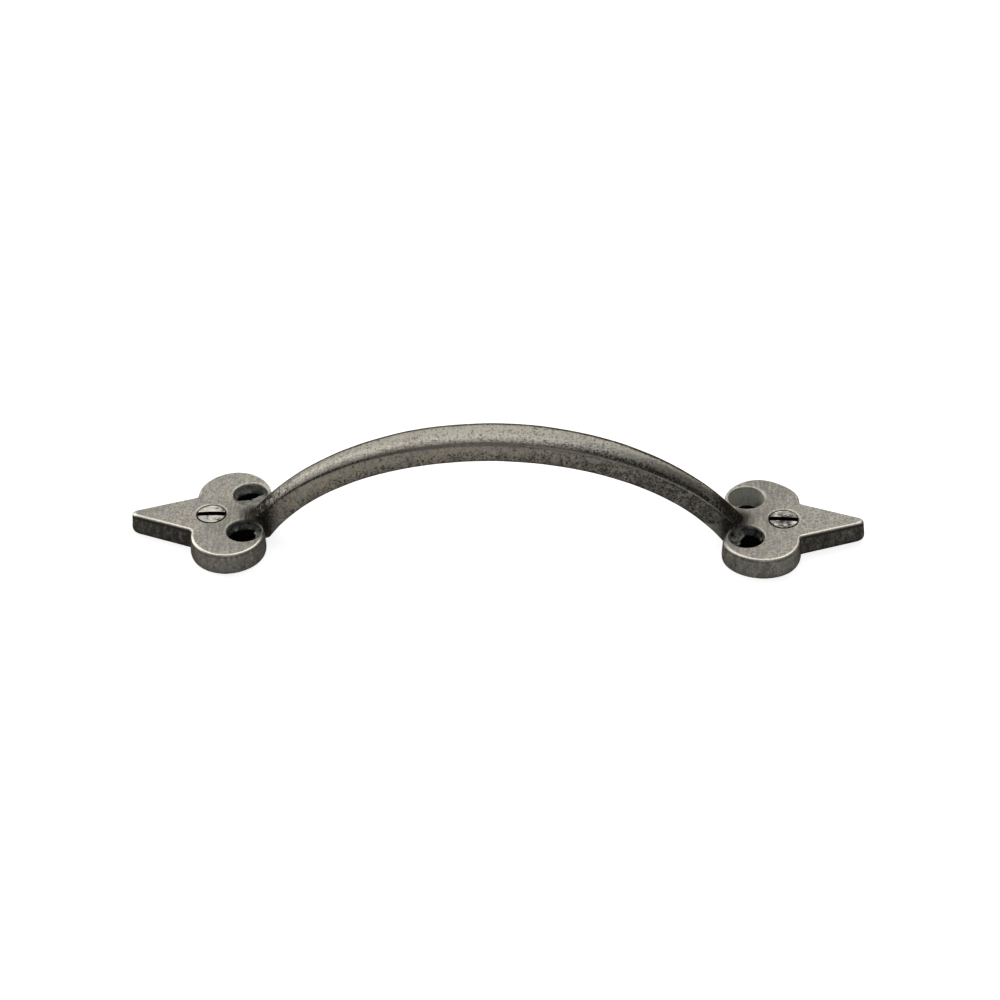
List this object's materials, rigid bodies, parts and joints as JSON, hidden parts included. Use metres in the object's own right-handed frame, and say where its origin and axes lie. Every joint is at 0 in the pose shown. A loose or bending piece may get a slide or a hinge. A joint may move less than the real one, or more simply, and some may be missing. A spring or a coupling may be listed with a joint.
{
  "type": "cabinet pull",
  "caption": "Cast bow-shaped cabinet pull with spade-shaped, pierced feet, held by countersunk slotted wood screws.",
  "frame": {"origin": "midway between the screw centres, on the surface that the feet are screwed to", "axes": "+Z out of that surface towards the bow, +X along the pull, +Y across it"},
  "size_m": [0.1624, 0.0314, 0.0392],
  "materials": {
    "cast_bronze": "satin pale bronze, bright on worn edges and dark brown in the recesses",
    "screw_metal": "polished nickel with dark blotches"
  },
  "bodies": {
    "root": {"cast_pull": "cast_bronze", "left_screw": "screw_metal", "right_screw": "screw_metal"}
  },
  "joints": []
}
